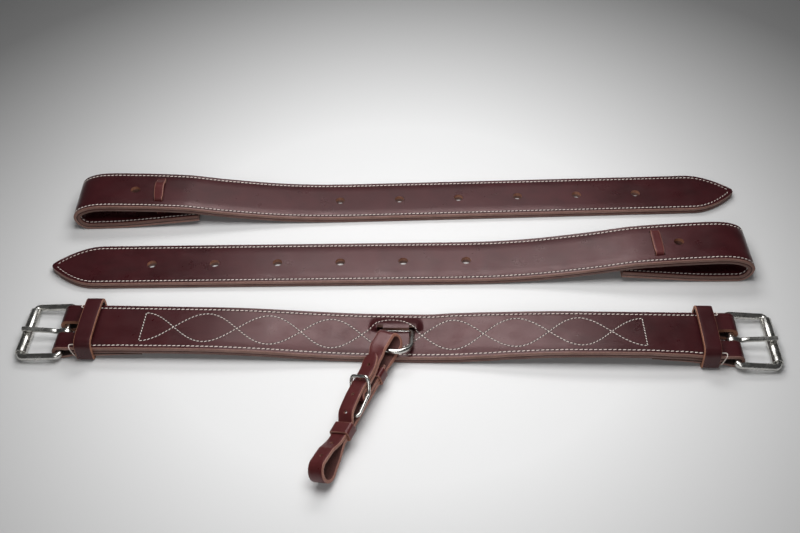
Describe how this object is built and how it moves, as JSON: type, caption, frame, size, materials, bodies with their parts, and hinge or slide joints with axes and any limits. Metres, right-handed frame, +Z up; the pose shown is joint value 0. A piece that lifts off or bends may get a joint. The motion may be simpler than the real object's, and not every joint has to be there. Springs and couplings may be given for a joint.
{
  "type": "western back cinch",
  "caption": "Western saddle back cinch of doubled stitched leather with roller buckles, keepers, a centre dee with a buckled connector strap, and two separate billets.",
  "frame": {"origin": "middle of the flat part of the cinch's underside, midway between the two roller buckles, on the surface that the object lies on", "axes": "+X along the cinch towards the right buckle, +Y across it towards the billets, +Z up"},
  "size_m": [0.5685, 0.3313, 0.0286],
  "materials": {
    "dark_leather": "dark burgundy-brown skirting leather, waxed, burnished edges",
    "connector_leather": "red-brown latigo leather with cut edges",
    "lace_leather": "red-brown lace with pale cut edges",
    "nickel": "polished nickel plate",
    "thread": "waxed cream-white thread"
  },
  "bodies": {
    "cinch": {"cinch_top_ply": "dark_leather", "cinch_lining": "dark_leather"},
    "left_frame": {"left_buckle_frame": "nickel"},
    "left_roller": {"left_buckle_roller": "nickel"},
    "left_tongue": {"left_buckle_tongue": "nickel"},
    "left_keeper_loop": {"left_keeper": "dark_leather"},
    "right_frame": {"right_buckle_frame": "nickel"},
    "right_roller": {"right_buckle_roller": "nickel"},
    "right_tongue": {"right_buckle_tongue": "nickel"},
    "right_keeper_loop": {"right_keeper": "dark_leather"},
    "dee": {"centre_dee": "nickel"},
    "connector": {"connector_strap": "connector_leather"},
    "connector_frame": {"connector_buckle_frame": "nickel"},
    "connector_tongue": {"connector_buckle_tongue": "nickel"},
    "connector_keeper_loop": {"connector_keeper": "connector_leather"},
    "connector_small_loop": {"connector_small_keeper": "connector_leather"},
    "middle_billet": {"middle_billet_face_ply": "dark_leather", "middle_billet_lining": "dark_leather", "middle_billet_lace": "lace_leather"},
    "upper_billet": {"upper_billet_face_ply": "dark_leather", "upper_billet_lining": "dark_leather", "upper_billet_lace": "lace_leather"}
  },
  "joints": [
    {"name": "left_buckle_swing", "type": "hinge", "parent": "cinch", "child": "left_frame", "pos_m": [-0.25, 0, 0.00595], "axis": [0, 1, 0], "range_deg": [-60, 45]},
    {"name": "left_tongue_swing", "type": "hinge", "parent": "left_frame", "child": "left_tongue", "pos_m": [-0.25, 0, 0.00595], "axis": [0, 1, 0], "range_deg": [0, 65]},
    {"name": "left_roller_spin", "type": "hinge", "parent": "left_frame", "child": "left_roller", "pos_m": [-0.27995, 0, 0.00425], "axis": [0, 1, 0], "continuous": true},
    {"name": "left_keeper_slide", "type": "slide", "parent": "cinch", "child": "left_keeper_loop", "axis": [1, 0, 0], "range_m": [0, 0.04]},
    {"name": "right_buckle_swing", "type": "hinge", "parent": "cinch", "child": "right_frame", "pos_m": [0.25, 0, 0.00595], "axis": [0, -1, 0], "range_deg": [-60, 45]},
    {"name": "right_tongue_swing", "type": "hinge", "parent": "right_frame", "child": "right_tongue", "pos_m": [0.25, 0, 0.00595], "axis": [0, -1, 0], "range_deg": [0, 65]},
    {"name": "right_roller_spin", "type": "hinge", "parent": "right_frame", "child": "right_roller", "pos_m": [0.27995, 0, 0.00425], "axis": [0, -1, 0], "continuous": true},
    {"name": "right_keeper_slide", "type": "slide", "parent": "cinch", "child": "right_keeper_loop", "axis": [-1, 0, 0], "range_m": [0, 0.04]},
    {"name": "dee_swing", "type": "hinge", "parent": "cinch", "child": "dee", "pos_m": [-0.0001, 0.0058, 0.0042], "axis": [-1, 0, 0], "range_deg": [0, 70]},
    {"name": "connector_swing", "type": "hinge", "parent": "dee", "child": "connector", "pos_m": [-0.0001, -0.01118, 0.00955], "axis": [0, 0, 1], "range_deg": [-12, 45]},
    {"name": "connector_buckle_swing", "type": "hinge", "parent": "connector", "child": "connector_frame", "pos_m": [-0.02356, -0.06598, 0.01467], "axis": [0.8801, -0.3295, 0.3419], "range_deg": [0, 3]},
    {"name": "connector_tongue_swing", "type": "hinge", "parent": "connector_frame", "child": "connector_tongue", "pos_m": [-0.02356, -0.06598, 0.01467], "axis": [-0.8801, 0.3295, -0.3419], "range_deg": [0, 2]},
    {"name": "connector_keeper_slide", "type": "slide", "parent": "connector", "child": "connector_keeper_loop", "axis": [-0.3583, -0.9333, 0.0227], "range_m": [0, 0.004]},
    {"name": "connector_small_keeper_slide", "type": "slide", "parent": "connector", "child": "connector_small_loop", "axis": [-0.3583, -0.9333, 0.0227], "range_m": [0, 0.003]},
    {"name": "middle_billet_lift", "type": "slide", "parent": "cinch", "child": "middle_billet", "axis": [0, 0, 1], "range_m": [0, 0.05]},
    {"name": "upper_billet_lift", "type": "slide", "parent": "cinch", "child": "upper_billet", "axis": [0, 0, 1], "range_m": [0, 0.05]}
  ]
}
